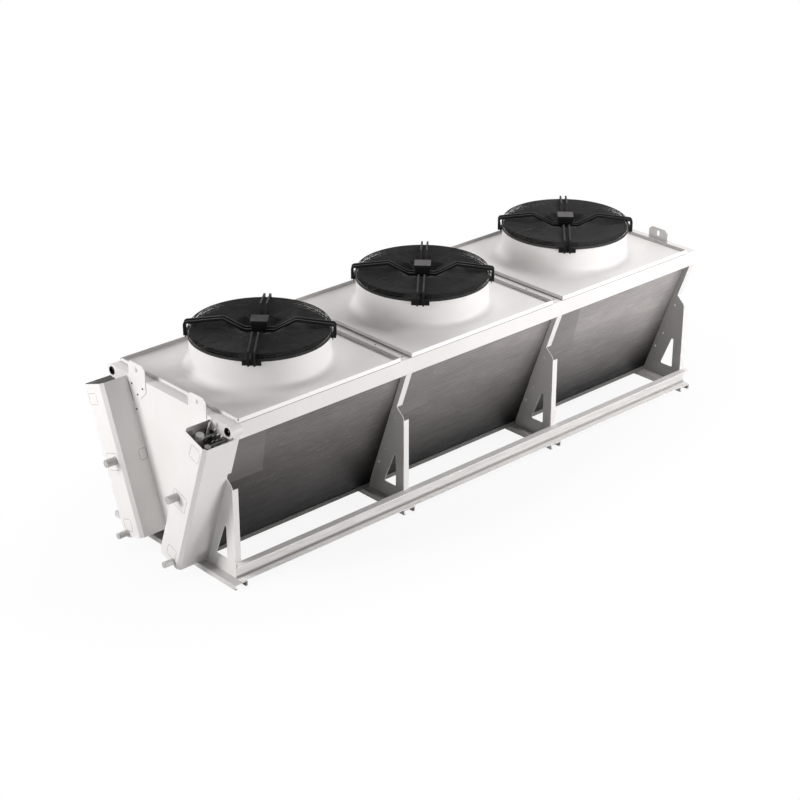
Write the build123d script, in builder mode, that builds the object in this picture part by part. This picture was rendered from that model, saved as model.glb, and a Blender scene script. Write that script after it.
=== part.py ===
"""V-shaped dry cooler with one row of three axial fans.

Two finned coils lean outwards on four pairs of folded side frames. Three fan
plates with drawn cowls close the top, and a folded tray closes the foot of the
V. All headers and connections sit at the -X end under two folded covers.
Millimetres, +Z up, X along the machine, and the origin on the floor below the
middle of the whole machine.
"""
from math import atan2, cos, pi, radians, sin, tan
import os

from build123d import *

# Sheet metal
sheet = 3.0
frame_sheet = 4.0
seat_gap = 0.3              # clearance of curved seats

# Layout along the machine
bays = 3                    # one fan in each
plate_length = 1348.0       # fan plate
plate_gap = 102.0           # between two fan plates
plate_inset = 46.0          # from a side frame to the next fan plate
post_width = 50.0           # face of a side frame along X
stub_reach = 314.0          # pipe stubs in front of the first side frame

# Deck
plate_width = 1240.0
deck_height = 1130.0        # where the fan plates lie
rim_height = 30.0           # upturned edge of a fan plate
band_height = 111.0         # side band under the fan plates
band_flange = 43.0
band_lip = 44.0
beam_overlap = 20.0         # deck beam under each fan plate
beam_depth = 40.0

# Beam over the headers and its plugs
end_beam_depth = 80.0
end_beam_height = 90.0
end_beam_rise = 10.0        # above the deck
end_beam_overhang = 38.0    # outside the band
plug_diameter = 52.0
plug_head = 58.0
plug_head_height = 2.0
plug_recess = 24.0
plug_wall = 3.0

# Coils
lean = 19.5                 # coils from the vertical, in degrees
coil_depth = 120.0
coil_gap = 2.0              # outer coil face behind the lip of the band
coil_top_drop = 92.0        # top corner of the outer coil face below the deck
casing_sheet = 2.0
casing_lip = 4.0            # end sheets beyond the fins

# Base
cross_height = 36.0
cross_width = 100.0
cross_lead = 62.0           # cross member in front of its side frame
cross_lip = 16.0
cross_end = 6.0             # cross member beyond the base rails
rail_height = 110.0
rail_depth = 50.0           # top flange of a base rail
rail_foot = 66.0            # bottom flange of a base rail
rail_lip = 22.0
rail_lip_lean = 15.0
sill_height = 28.0
sill_depth = 90.0           # seat of a coil on the base tray

# Side frames
post_proud = 40.0           # post face in front of the coil face
post_foot_drop = 271.0      # end of the post below the band
gusset_inset = 30.0         # outer edge of a side frame behind the band
gusset_shoulder_drop = 332.0
gusset_corner = 45.0
gusset_flange = 46.0
window_side = 80.0          # metal left outside the triangular window
window_sill = 108.0
window_rise = 281.0
window_width = 116.0
window_corner = 11.0

# End plates
plate_front = 37.0          # face of the front end plate before the first frame
plate_head_rise = 10.0      # front end plate above the deck
plate_foot_gap = 60.0       # under the front end plate, for drain and cables
plate_overlap = 20.0
back_plate_inset = 34.0     # back end plate in front of the last side frame

# Cowls and guards
cowl_diameter = 932.0
cowl_height = 197.0         # cowl rim above the top of the fan plate edge
cowl_flare = 65.0
guard_skirt = 14.0
guard_ledge = 11.0
guard_rise = 42.0
guard_wire = 6.0
guard_inset = 20.0          # flat top of the guard inside the cowl
guard_eye = 250.0
guard_rings = 5
guard_spokes = 16

# Fan motors on their arms
arm_bar = 12.0
arm_height = 17.0           # of a bar, measured across its bends
arm_spacing = 40.0
arm_outset = 24.5           # arms outside the cowl
arm_foot_drop = 36.0        # lower end of an arm below the cowl rim
arm_shoulder_rise = 52.5    # outer corner of an arm above the cowl rim
arm_bend_inset = 228.0      # inner bend of an arm inside the cowl
arm_bend_rise = 81.5
arm_corner = 18.0
bracket_width = 124.0
bracket_height = 32.0
bracket_sheet = 5.0
bracket_foot = 56.0         # part of a bracket that reaches the cowl
motor_diameter = 168.0
motor_flange = 12.0
motor_drop = 1.0            # top of the motor flange below the cowl rim
box_width = 116.0
box_length = 110.0
box_height = 86.0
box_lid = 16.0
box_taper = 15.0            # foot of the terminal box inside its lid
box_corner = 9.0
shaft_diameter = 40.0
shaft_length = 66.0
shaft_clearance = 0.05

# Impellers
rotor_gap = 8.0             # under the motor flange
rotor_diameter = 205.0
rotor_height = 88.0
tip_gap = 8.0
blades = 7
blade_thickness = 6.0
blade_drop = 75.0           # middle of the blades below the cowl rim
root_sink = 14.0            # blade root inside the rotor
root_chord = 130.0
root_angle = 38.0
waist_chord = 235.0
waist_angle = 26.0
waist_sweep = -25.0
tip_chord = 330.0
tip_angle = 18.0
tip_sweep = 45.0
tip_excess = 30.0           # blade blank beyond its trimmed tip

# Header covers
cover_inset = 170.0         # inner face of a cover behind the outer coil face
cover_top_drop = 9.0        # inner top edge of a cover below the deck
cover_foot = 57.0           # lowest corner of a cover above the floor
cover_width = 223.0
cover_front = 239.0         # cover face in front of the first side frame
cover_chamfer = 22.0
cover_return = 38.0

# Headers
header_front = 159.0
header_tail = 14.0
supply_across = 71.0
supply_diameter = 54.0
supply_top = 20.0
supply_stub_down = 517.0
return_across = 160.0
return_diameter = 42.0
return_top = 45.0
return_stub_rise = 33.0     # lower stub above the end of the cover
stub_clearance = 0.3
socket_wall = 2.0           # socket round each stub, through the cover
socket_proud = 2.0
feeds = 8
feed_diameter = 12.0
feed_start = 62.0           # first feed below the top edge of the cover
feed_end = 162.0            # last feed above the end of the cover
feed_line = 150.0           # feeds of the return header across the cover

# Lifting lugs
lug_inset = 29.0            # between a lug and the cover beside it
lug_width = 182.0
lug_rise = 115.0            # above the deck
lug_drop = 125.0
lug_thickness = 5.0
lug_corner = 26.0
lug_foot_corner = 60.0
slot_width = 25.0
slot_length = 43.0
slot_below_top = 40.0

# Places that follow from the sizes
bay_pitch = plate_length + plate_gap
row_length = bays * bay_pitch
machine_length = stub_reach + row_length + post_width
first_frame = stub_reach - machine_length / 2
last_frame = first_frame + row_length
first_fan = first_frame + plate_inset + plate_length / 2
half_width = plate_width / 2
beam_reach = half_width - band_flange
end_beam_reach = half_width + end_beam_overhang
end_beam_middle = deck_height + end_beam_rise - end_beam_height / 2
end_beam_face = first_frame + plate_inset - end_beam_depth
plug_across = end_beam_reach - end_beam_height / 2
gusset_y = half_width - gusset_inset
band_bottom = deck_height - band_height
sill_top = cross_height + sill_height
cowl_top = deck_height + rim_height + cowl_height
cowl_radius = cowl_diameter / 2
slope = tan(radians(lean))
lean_cos = cos(radians(lean))
lean_sin = sin(radians(lean))
coil_face_y = half_width - band_lip - coil_gap
post_step = post_proud / lean_cos
cover_top = deck_height - cover_top_drop
cover_top_y = coil_face_y + slope * (cover_top - band_bottom) - cover_inset
cover_length = (cover_top - cover_foot - lean_sin * cover_width) / lean_cos
return_stub_down = cover_length - return_stub_rise
lug_y = cover_top_y - lug_inset - lug_width / 2


def coil_y(height):
    """Distance of the outer coil face from the middle plane at a height."""
    return coil_face_y + slope * (height - band_bottom)


def coil_height(across):
    """Height at which the outer coil face is this far from the middle plane."""
    return band_bottom + (across - coil_face_y) / slope


def coil_back_y(height):
    """Inner limit of a coil with its end sheets, from the middle plane."""
    return coil_y(height) - coil_depth / lean_cos - casing_lip


def cover_inner_y(height):
    """Inner face of a header cover at a height, from the middle plane."""
    return cover_top_y + slope * (height - cover_top)


def section_at(place):
    """Plane along the machine at y = 0: its x runs along X and its y up."""
    return Plane(origin=(place, 0, 0), x_dir=(1, 0, 0), z_dir=(0, -1, 0))


def slope_plane(down):
    """Plane square to the right coil, measured down from the top of its cover.

    Its x runs along the machine from the first side frame, and its y runs
    outwards across the cover from the inner face.
    """
    origin = (first_frame, -cover_top_y + lean_sin * down, cover_top - lean_cos * down)
    return Plane(origin=origin, x_dir=(1, 0, 0), z_dir=(0, lean_sin, -lean_cos))


def slope_point(across, down):
    """Y and Z of a point this far across the right cover and down its slope."""
    reach_y = -cover_top_y - lean_cos * across + lean_sin * down
    reach_z = cover_top - lean_sin * across - lean_cos * down
    return (reach_y, reach_z)


def keep(piece, label):
    """Name a finished piece and write its STEP file."""
    piece.part.label = label
    export_step(piece.part, f"parts/{label}.step")


def mirrored(piece):
    """The same piece on the other long side of the machine."""
    with BuildPart() as twin:
        mirror(piece.part, about=Plane.XZ)
    return twin


def moved(piece, along):
    """The same piece further along the machine."""
    with BuildPart() as copy:
        with Locations((along, 0, 0)):
            add(piece.part)
    return copy


def make_cross_members():
    """Inverted channels with inward lips that stand on the floor."""
    first = first_frame - cross_lead + cross_width / 2
    places = [(first + index * bay_pitch, 0) for index in range(bays + 1)]
    with BuildPart() as members:
        with BuildSketch(Plane.XZ):
            with Locations(*places):
                Rectangle(cross_width, cross_height, align=(Align.CENTER, Align.MIN))
                with Locations((0, frame_sheet)):
                    Rectangle(cross_width - 2 * frame_sheet, cross_height - 2 * frame_sheet,
                              align=(Align.CENTER, Align.MIN), mode=Mode.SUBTRACT)
                Rectangle(cross_width - 2 * cross_lip, frame_sheet,
                          align=(Align.CENTER, Align.MIN), mode=Mode.SUBTRACT)
        extrude(amount=gusset_y + rail_foot + cross_end, both=True)
    return members


def make_base_rail():
    """Channel open to the outside, with a leaning lip on its top flange."""
    top = cross_height + rail_height
    inner = -gusset_y
    edge = inner - rail_depth
    with BuildPart() as rail:
        with BuildSketch(Plane.YZ.offset(first_frame)):
            with BuildLine():
                Polyline(
                    (inner, cross_height),
                    (inner, top),
                    (edge, top),
                    (edge + rail_lip_lean, top - rail_lip),
                    (edge + rail_lip_lean + frame_sheet, top - rail_lip),
                    (edge + 2 * frame_sheet, top - frame_sheet),
                    (inner - frame_sheet, top - frame_sheet),
                    (inner - frame_sheet, cross_height + frame_sheet),
                    (inner - rail_foot, cross_height + frame_sheet),
                    (inner - rail_foot, cross_height),
                    close=True)
            make_face()
        extrude(amount=row_length + plate_inset)
    return rail


def make_base_tray():
    """Folded tray that closes the foot of the V and carries both coils."""
    outer = coil_y(sill_top) + frame_sheet
    inner = outer - sill_depth
    middle = (outer + inner) / 2
    with BuildPart() as tray:
        with BuildSketch(Plane.YZ.offset(first_frame)):
            with Locations((0, cross_height)):
                Rectangle(2 * outer, sill_height, align=(Align.CENTER, Align.MIN))
            with Locations((0, cross_height + frame_sheet)):
                Rectangle(2 * inner, sill_height, align=(Align.CENTER, Align.MIN), mode=Mode.SUBTRACT)
            with Locations((-middle, cross_height), (middle, cross_height)):
                Rectangle(sill_depth - 2 * frame_sheet, sill_height - frame_sheet,
                          align=(Align.CENTER, Align.MIN), mode=Mode.SUBTRACT)
        extrude(amount=row_length + frame_sheet)
    return tray


def coil_outline(grow):
    """Leaning outline of one coil, grown along its slope at both ends."""
    top = deck_height - coil_top_drop + grow * lean_cos
    foot = sill_top + casing_lip - grow * lean_cos
    across = coil_depth * lean_cos
    rise = coil_depth * lean_sin
    Polyline(
        (-coil_y(foot), foot),
        (-coil_y(top), top),
        (-coil_y(top) + across, top + rise),
        (-coil_y(foot) + across, foot + rise),
        close=True)


def make_coil():
    """Fin block between two end sheets."""
    with BuildPart() as coil:
        with BuildSketch(Plane.YZ.offset(first_frame + casing_sheet)):
            with BuildLine():
                coil_outline(0)
            make_face()
        extrude(amount=row_length + frame_sheet - 2 * casing_sheet)
        for place in (first_frame, last_frame + frame_sheet - casing_sheet):
            with BuildSketch(Plane.YZ.offset(place)):
                with BuildLine():
                    coil_outline(casing_lip)
                make_face()
            extrude(amount=casing_sheet)
    return coil


def make_side_frame(top):
    """Folded plate: post along the coil, triangular foot and outer flange."""
    post_foot = band_bottom - post_foot_drop
    shoulder = band_bottom - gusset_shoulder_drop
    sill_y = coil_y(sill_top) + frame_sheet
    window_y = gusset_y - window_side
    window_z = cross_height + window_sill
    skin = frame_sheet / lean_cos
    run = gusset_y - coil_y(post_foot) - post_step
    turn = pi / 2 - atan2(post_foot - shoulder, run)
    fold = shoulder - gusset_corner * tan(turn / 2)
    with BuildPart() as frame:
        with BuildSketch(Plane.YZ.offset(first_frame)):
            with BuildLine():
                Polyline(
                    (-coil_y(top), top),
                    (-coil_y(top) - post_step, top),
                    (-coil_y(post_foot) - post_step, post_foot),
                    (-gusset_y, shoulder),
                    (-gusset_y, cross_height),
                    (-sill_y, cross_height),
                    (-sill_y, coil_height(sill_y)),
                    close=True)
            make_face()
            fillet(vertices().sort_by_distance((-gusset_y, shoulder, 0))[0], gusset_corner)
        extrude(amount=frame_sheet)
        with BuildSketch(Plane.YZ.offset(first_frame)):
            with BuildLine():
                Polyline(
                    (-window_y, window_z),
                    (-window_y + window_width, window_z),
                    (-window_y, window_z + window_rise),
                    close=True)
            make_face()
            fillet(vertices(), window_corner)
        extrude(amount=frame_sheet, mode=Mode.SUBTRACT)
        with BuildSketch(Plane.YZ.offset(first_frame)):
            with Locations((-gusset_y, cross_height)):
                Rectangle(frame_sheet, fold - cross_height, align=(Align.MIN, Align.MIN))
        extrude(amount=gusset_flange)
        with BuildSketch(Plane.YZ.offset(first_frame)):
            with BuildLine():
                Polyline(
                    (-coil_y(top) - post_step, top),
                    (-coil_y(top) - post_step + skin, top),
                    (-coil_y(post_foot) - post_step + skin, post_foot),
                    (-coil_y(post_foot) - post_step, post_foot),
                    close=True)
            make_face()
        extrude(amount=post_width)
    return frame


def make_top_rail():
    """Folded band along the long side, with flanges under the fan plates."""
    with BuildPart() as rail:
        with BuildSketch(Plane.YZ.offset(first_frame + post_width)):
            with Locations((-half_width, band_bottom)):
                Rectangle(sheet, band_height, align=(Align.MIN, Align.MIN))
                Rectangle(band_lip, sheet, align=(Align.MIN, Align.MIN))
            with Locations((-half_width, deck_height)):
                Rectangle(band_flange, sheet, align=(Align.MIN, Align.MAX))
        extrude(amount=row_length)
    return rail


def make_beam(start, width):
    """Inverted channel across the machine, flush with the deck."""
    with BuildPart() as beam:
        with BuildSketch(section_at(start)):
            with Locations((0, deck_height)):
                Rectangle(width, beam_depth, align=(Align.MIN, Align.MAX))
            with Locations((sheet, deck_height - sheet)):
                Rectangle(width - 2 * sheet, beam_depth, align=(Align.MIN, Align.MAX),
                          mode=Mode.SUBTRACT)
        extrude(amount=beam_reach, both=True)
    return beam


def make_header_end_beam():
    """Pressed beam with round ends, closed to the front, over the headers."""
    with BuildPart() as beam:
        with BuildSketch(Plane.YZ.offset(end_beam_face)):
            with Locations((0, end_beam_middle)):
                SlotOverall(2 * end_beam_reach, end_beam_height)
        extrude(amount=end_beam_depth)
        with BuildSketch(Plane.YZ.offset(end_beam_face + sheet)):
            with Locations((0, end_beam_middle)):
                SlotOverall(2 * (end_beam_reach - sheet), end_beam_height - 2 * sheet)
        extrude(amount=end_beam_depth, mode=Mode.SUBTRACT)
        with BuildSketch(Plane.YZ.offset(end_beam_face)):
            with Locations((-plug_across, end_beam_middle), (plug_across, end_beam_middle)):
                Circle(plug_diameter / 2 + seat_gap)
        extrude(amount=sheet, mode=Mode.SUBTRACT)
        with BuildSketch(Plane.YZ.offset(first_frame - casing_lip)):
            with Locations((0, end_beam_middle)):
                Rectangle(2 * plug_across, end_beam_height / 2, align=(Align.CENTER, Align.MAX))
        extrude(amount=plate_inset + casing_lip, mode=Mode.SUBTRACT)
    return beam


def make_plugs():
    """Hollow round plugs in both ends of the header end beam."""
    places = ((-plug_across, end_beam_middle), (plug_across, end_beam_middle))
    with BuildPart() as plugs:
        with BuildSketch(Plane.YZ.offset(end_beam_face)):
            with Locations(*places):
                Circle(plug_head / 2)
        extrude(amount=-plug_head_height)
        with BuildSketch(Plane.YZ.offset(end_beam_face)):
            with Locations(*places):
                Circle(plug_diameter / 2)
        extrude(amount=plug_recess)
        with BuildSketch(Plane.YZ.offset(end_beam_face + plug_recess - plug_wall)):
            with Locations(*places):
                Circle(plug_diameter / 2 - plug_wall)
        extrude(amount=-(plug_recess - plug_wall + plug_head_height), mode=Mode.SUBTRACT)
    return plugs


def make_end_plate_front():
    """Flat plate between the two header covers."""
    top = deck_height + plate_head_rise
    foot = cross_height + plate_foot_gap
    wide = plate_overlap / lean_cos
    with BuildPart() as plate:
        with BuildSketch(Plane.YZ.offset(first_frame - plate_front)):
            with BuildLine():
                Polyline(
                    (-cover_inner_y(top) - wide, top),
                    (cover_inner_y(top) + wide, top),
                    (cover_inner_y(foot) + wide, foot),
                    (-cover_inner_y(foot) - wide, foot),
                    close=True)
            make_face()
        extrude(amount=sheet)
    return plate


def make_end_plate_back():
    """Folded plate that closes the V at the far end."""
    place = last_frame - back_plate_inset
    flange_start = last_frame + plate_inset - plate_gap - beam_overlap
    neck = deck_height - beam_depth
    neck_y = coil_back_y(deck_height - coil_top_drop)
    foot_y = coil_back_y(sill_top)
    with BuildPart() as plate:
        with BuildSketch(Plane.YZ.offset(place)):
            with BuildLine():
                Polyline(
                    (-beam_reach, deck_height),
                    (beam_reach, deck_height),
                    (beam_reach, neck),
                    (neck_y, neck),
                    (foot_y, sill_top),
                    (-foot_y, sill_top),
                    (-neck_y, neck),
                    (-beam_reach, neck),
                    close=True)
            make_face()
        extrude(amount=sheet)
        with BuildSketch(Plane.YZ.offset(flange_start)):
            with Locations((0, deck_height)):
                Rectangle(2 * beam_reach, sheet, align=(Align.CENTER, Align.MAX))
        extrude(amount=place - flange_start)
    return plate


def make_fan_plate():
    """Tray with upturned edges and a round hole for the fan cowl."""
    with BuildPart() as plate:
        with BuildSketch(Plane.XY.offset(deck_height)):
            Rectangle(plate_length, plate_width)
            Circle(cowl_radius + cowl_flare + seat_gap, mode=Mode.SUBTRACT)
        extrude(amount=sheet)
        with BuildSketch(Plane.XY.offset(deck_height)):
            Rectangle(plate_length, plate_width)
            Rectangle(plate_length - 2 * sheet, plate_width - 2 * sheet, mode=Mode.SUBTRACT)
        extrude(amount=rim_height)
    return plate


def make_cowl():
    """Drawn cowl of a fan, with a bellmouth that flares into the fan plate."""
    floor_top = deck_height + sheet
    inside = cowl_radius - sheet
    mouth = cowl_radius + cowl_flare
    with BuildPart() as cowl:
        with BuildSketch(Plane.XZ):
            with BuildLine():
                Line((mouth, deck_height), (mouth, floor_top))
                RadiusArc((mouth, floor_top), (cowl_radius, floor_top + cowl_flare), cowl_flare)
                Polyline((cowl_radius, floor_top + cowl_flare), (cowl_radius, cowl_top),
                         (inside, cowl_top), (inside, floor_top + cowl_flare))
                RadiusArc((inside, floor_top + cowl_flare), (mouth, deck_height),
                          -(cowl_flare + sheet))
            make_face()
        revolve(axis=Axis.Z)
    return cowl


def make_guard_spoke():
    """One spoke of a guard, from the eye to the ledge on the cowl rim."""
    inner = cowl_radius - guard_ledge
    shoulder = cowl_radius - guard_inset
    top = cowl_top + guard_rise - guard_wire / 2
    foot = cowl_top + sheet / 2
    with BuildPart() as spoke:
        with BuildSketch(Plane.XZ):
            with BuildLine():
                Polyline(
                    (guard_eye / 2, top),
                    (shoulder, top),
                    (inner + guard_wire, foot),
                    (inner + sheet / 2, foot),
                    (shoulder - guard_wire / 2, top - guard_wire),
                    (guard_eye / 2, top - guard_wire),
                    close=True)
            make_face()
        extrude(amount=guard_wire / 2, both=True)
    return spoke


def make_guard():
    """Lattice basket: skirt ring on the cowl, with spokes and rings above it."""
    inner = cowl_radius - guard_ledge
    skirt = cowl_radius + sheet
    eye = guard_eye / 2
    ring_pitch = (cowl_radius - guard_inset - eye) / guard_rings
    spoke = make_guard_spoke()
    with BuildPart() as guard:
        with BuildSketch(Plane.XZ):
            with BuildLine():
                Polyline(
                    (inner, cowl_top),
                    (skirt, cowl_top),
                    (skirt, cowl_top - guard_skirt),
                    (skirt + sheet, cowl_top - guard_skirt),
                    (skirt + sheet, cowl_top + sheet),
                    (inner, cowl_top + sheet),
                    close=True)
            make_face()
            for ring in range(guard_rings + 1):
                with Locations((eye + ring * ring_pitch, cowl_top + guard_rise)):
                    Rectangle(guard_wire, guard_wire, align=(Align.CENTER, Align.MAX))
        revolve(axis=Axis.Z)
        with PolarLocations(0, guard_spokes):
            add(spoke.part)
    return guard


def make_motor_arm():
    """Two bent bars side by side on their bracket at the cowl."""
    arm_radius = cowl_radius + arm_outset
    level = cowl_top - motor_drop + arm_height / 2
    bracket_face = arm_radius - arm_height / 2
    bracket_depth = bracket_face - cowl_radius - seat_gap
    with BuildPart() as arm:
        for side in (-1, 1):
            with BuildSketch(Plane.XZ.offset(side * arm_spacing / 2)):
                with BuildLine():
                    FilletPolyline(
                        (arm_radius, cowl_top - arm_foot_drop),
                        (arm_radius, cowl_top + arm_shoulder_rise),
                        (cowl_radius - arm_bend_inset, cowl_top + arm_bend_rise),
                        (motor_diameter / 2 + arm_height, level),
                        (motor_diameter / 4, level),
                        radius=arm_corner)
                trace(line_width=arm_height)
            extrude(amount=arm_bar / 2, both=True)
        with BuildSketch(Plane.XY.offset(cowl_top - arm_foot_drop)):
            with Locations((bracket_face, 0)):
                Rectangle(bracket_sheet, bracket_width, align=(Align.MAX, Align.CENTER))
        extrude(amount=bracket_height)
        with BuildSketch(Plane.XY.offset(cowl_top - arm_foot_drop)):
            with Locations((bracket_face, 0)):
                Rectangle(bracket_depth, bracket_foot, align=(Align.MAX, Align.CENTER))
        extrude(amount=arm_foot_drop - guard_skirt - seat_gap)
    return arm


def make_motor():
    """Fan motor flange with its terminal box, shaft and four pairs of arms."""
    flange_top = cowl_top - motor_drop
    lid_foot = flange_top + box_height - box_lid
    arm = make_motor_arm()
    with BuildPart() as motor:
        with BuildSketch(Plane.XY.offset(flange_top)):
            Circle(motor_diameter / 2)
        extrude(amount=-motor_flange)
        with BuildSketch(Plane.XY.offset(flange_top - motor_flange)):
            Circle(shaft_diameter / 2)
        extrude(amount=-shaft_length)
        for height, taper in ((flange_top, box_taper), (lid_foot, 0)):
            with BuildSketch(Plane.XY.offset(height)):
                RectangleRounded(box_width - 2 * taper, box_length - 2 * taper, box_corner, rotation=-45)
        loft()
        with BuildSketch(Plane.XY.offset(lid_foot)):
            RectangleRounded(box_width, box_length, box_corner, rotation=-45)
        extrude(amount=box_lid)
        with PolarLocations(0, 4, start_angle=45):
            add(arm.part)
    return motor


def make_blade():
    """Swept, twisted blade, trimmed to run close to the cowl."""
    tip = cowl_radius - sheet - tip_gap
    root = rotor_diameter / 2
    rotor_top = cowl_top - motor_drop - motor_flange - rotor_gap
    with BuildPart() as blade:
        for radius, chord, angle, sweep in (
                (root - root_sink, root_chord, root_angle, 0),
                ((root + tip) / 2, waist_chord, waist_angle, waist_sweep),
                (tip + tip_excess, tip_chord, tip_angle, tip_sweep)):
            middle = (radius, sweep, cowl_top - blade_drop)
            along = (0, cos(radians(angle)), sin(radians(angle)))
            with BuildSketch(Plane(origin=middle, x_dir=along, z_dir=(1, 0, 0))):
                Rectangle(chord, blade_thickness)
        loft()
        with BuildSketch(Plane.XY.offset(rotor_top)):
            Circle(tip)
        extrude(amount=deck_height - rotor_top, mode=Mode.INTERSECT)
    return blade


def make_impeller():
    """Rotor bell on the motor shaft, with a ring of blades."""
    rotor_top = cowl_top - motor_drop - motor_flange - rotor_gap
    blade = make_blade()
    with BuildPart() as impeller:
        with PolarLocations(0, blades):
            add(blade.part)
        with BuildSketch(Plane.XY.offset(rotor_top)):
            Circle(rotor_diameter / 2)
        extrude(amount=-rotor_height)
        with BuildSketch(Plane.XY.offset(rotor_top)):
            Circle(shaft_diameter / 2 + shaft_clearance)
        extrude(amount=-shaft_length, mode=Mode.SUBTRACT)
    return impeller


def make_header_cover():
    """Folded cover around the headers, open at the top, with two pipe holes."""
    front = -cover_front
    inner_back = -plate_front
    mitre = sheet * tan(pi / 8)
    with BuildPart() as cover:
        with BuildSketch(slope_plane(0)):
            with BuildLine():
                Polyline(
                    (inner_back, 0),
                    (front + cover_chamfer, 0),
                    (front, cover_chamfer),
                    (front, cover_width - cover_chamfer),
                    (front + cover_chamfer, cover_width),
                    (0, cover_width),
                    (0, cover_width - sheet),
                    (front + cover_chamfer + mitre, cover_width - sheet),
                    (front + sheet, cover_width - cover_chamfer - mitre),
                    (front + sheet, cover_chamfer + mitre),
                    (front + cover_chamfer + mitre, sheet),
                    (inner_back, sheet),
                    close=True)
            make_face()
        extrude(amount=cover_length)
        with BuildSketch(slope_plane(cover_return)):
            with Locations((0, cover_width)):
                Rectangle(sheet, cover_return, align=(Align.MAX, Align.MAX))
        extrude(amount=cover_length - cover_return)
        with BuildSketch(slope_plane(cover_length - sheet)):
            with BuildLine():
                Polyline(
                    (inner_back, 0),
                    (front + cover_chamfer, 0),
                    (front, cover_chamfer),
                    (front, cover_width - cover_chamfer),
                    (front + cover_chamfer, cover_width),
                    (inner_back, cover_width),
                    close=True)
            make_face()
        extrude(amount=sheet)
        with BuildSketch(Plane.YZ.offset(first_frame + front)):
            with Locations(slope_point(supply_across, supply_stub_down)):
                Circle(supply_diameter / 2 + socket_wall + stub_clearance)
            with Locations(slope_point(return_across, return_stub_down)):
                Circle(return_diameter / 2 + socket_wall + stub_clearance)
        extrude(amount=sheet, mode=Mode.SUBTRACT)
    return cover


def make_header_pipes():
    """Supply and return header with their stubs and the feeds to the coil."""
    end = first_frame - stub_reach
    socket_end = first_frame - cover_front - socket_proud
    feed_pitch = (cover_length - feed_start - feed_end) / (feeds - 1)
    with BuildPart() as pipes:
        for across, diameter, top, stub_down in (
                (supply_across, supply_diameter, supply_top, supply_stub_down),
                (return_across, return_diameter, return_top, return_stub_down)):
            with BuildSketch(slope_plane(top)):
                with Locations((-header_front, across)):
                    Circle(diameter / 2)
            extrude(amount=return_stub_down + header_tail - top)
            with BuildSketch(Plane.YZ.offset(end)):
                with Locations(slope_point(across, stub_down)):
                    Circle(diameter / 2)
            extrude(amount=socket_end - end)
            with BuildSketch(Plane.YZ.offset(socket_end)):
                with Locations(slope_point(across, stub_down)):
                    Circle(diameter / 2 + socket_wall)
            extrude(amount=cover_front + socket_proud - header_front)
            with BuildSketch(Plane.YZ.offset(first_frame - header_front)):
                for feed in range(feeds):
                    with Locations(slope_point(min(across, feed_line), feed_start + feed * feed_pitch)):
                        Circle(feed_diameter / 2)
            extrude(amount=header_front)
    return pipes


def make_lugs(face):
    """Pair of lifting lugs with a slot each, their inner face at this place."""
    top = deck_height + lug_rise
    foot = deck_height - lug_drop
    with BuildPart() as lugs:
        with BuildSketch(Plane.YZ.offset(face)):
            with Locations((-lug_y, foot), (lug_y, foot)):
                Rectangle(lug_width, top - foot, align=(Align.CENTER, Align.MIN))
            chamfer(vertices().group_by(Axis.Y)[-1], lug_corner)
            chamfer(vertices().group_by(Axis.Y)[0], lug_foot_corner)
            with Locations((-lug_y, top - slot_below_top), (lug_y, top - slot_below_top)):
                SlotOverall(slot_length, slot_width, rotation=90, mode=Mode.SUBTRACT)
        extrude(amount=lug_thickness)
    return lugs


os.makedirs("parts", exist_ok=True)

end_side_frame = make_side_frame(end_beam_middle - end_beam_height / 2)
side_frame = make_side_frame(band_bottom)
keep(end_side_frame, "side_frame_right_1")
keep(mirrored(end_side_frame), "side_frame_left_1")
for number in range(1, bays + 1):
    right_frame = moved(side_frame, number * bay_pitch)
    keep(right_frame, f"side_frame_right_{number + 1}")
    keep(mirrored(right_frame), f"side_frame_left_{number + 1}")

for maker, name in (
        (make_base_rail, "base_rail"),
        (make_coil, "coil"),
        (make_top_rail, "top_rail"),
        (make_header_cover, "header_cover"),
        (make_header_pipes, "header_pipes")):
    right_piece = maker()
    keep(right_piece, f"{name}_right")
    keep(mirrored(right_piece), f"{name}_left")

for maker, name in (
        (make_fan_plate, "fan_plate"),
        (make_cowl, "fan_cowl"),
        (make_guard, "fan_guard"),
        (make_motor, "fan_motor"),
        (make_impeller, "impeller")):
    fan_piece = maker()
    for number in range(bays):
        keep(moved(fan_piece, first_fan + number * bay_pitch), f"{name}_{number + 1}")

for number in range(1, bays):
    beam_start = first_frame + number * bay_pitch + plate_inset - plate_gap - beam_overlap
    keep(make_beam(beam_start, plate_gap + 2 * beam_overlap), f"deck_beam_{number}")

back_plate_face = last_frame - back_plate_inset + sheet
far_beam_start = back_plate_face + lug_thickness
keep(make_beam(far_beam_start, last_frame + post_width - far_beam_start), "far_end_beam")
keep(make_header_end_beam(), "header_end_beam")
keep(make_plugs(), "beam_plugs")
keep(make_base_tray(), "base_tray")
keep(make_cross_members(), "cross_members")
keep(make_end_plate_front(), "end_plate_front")
keep(make_end_plate_back(), "end_plate_back")
keep(make_lugs(first_frame - plate_front - lug_thickness), "lifting_lugs_front")
keep(make_lugs(back_plate_face), "lifting_lugs_back")
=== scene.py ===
"""Looks of the V-shaped dry cooler. Everything is in metres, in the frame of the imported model."""
from math import cos, pi, radians, sin

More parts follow.
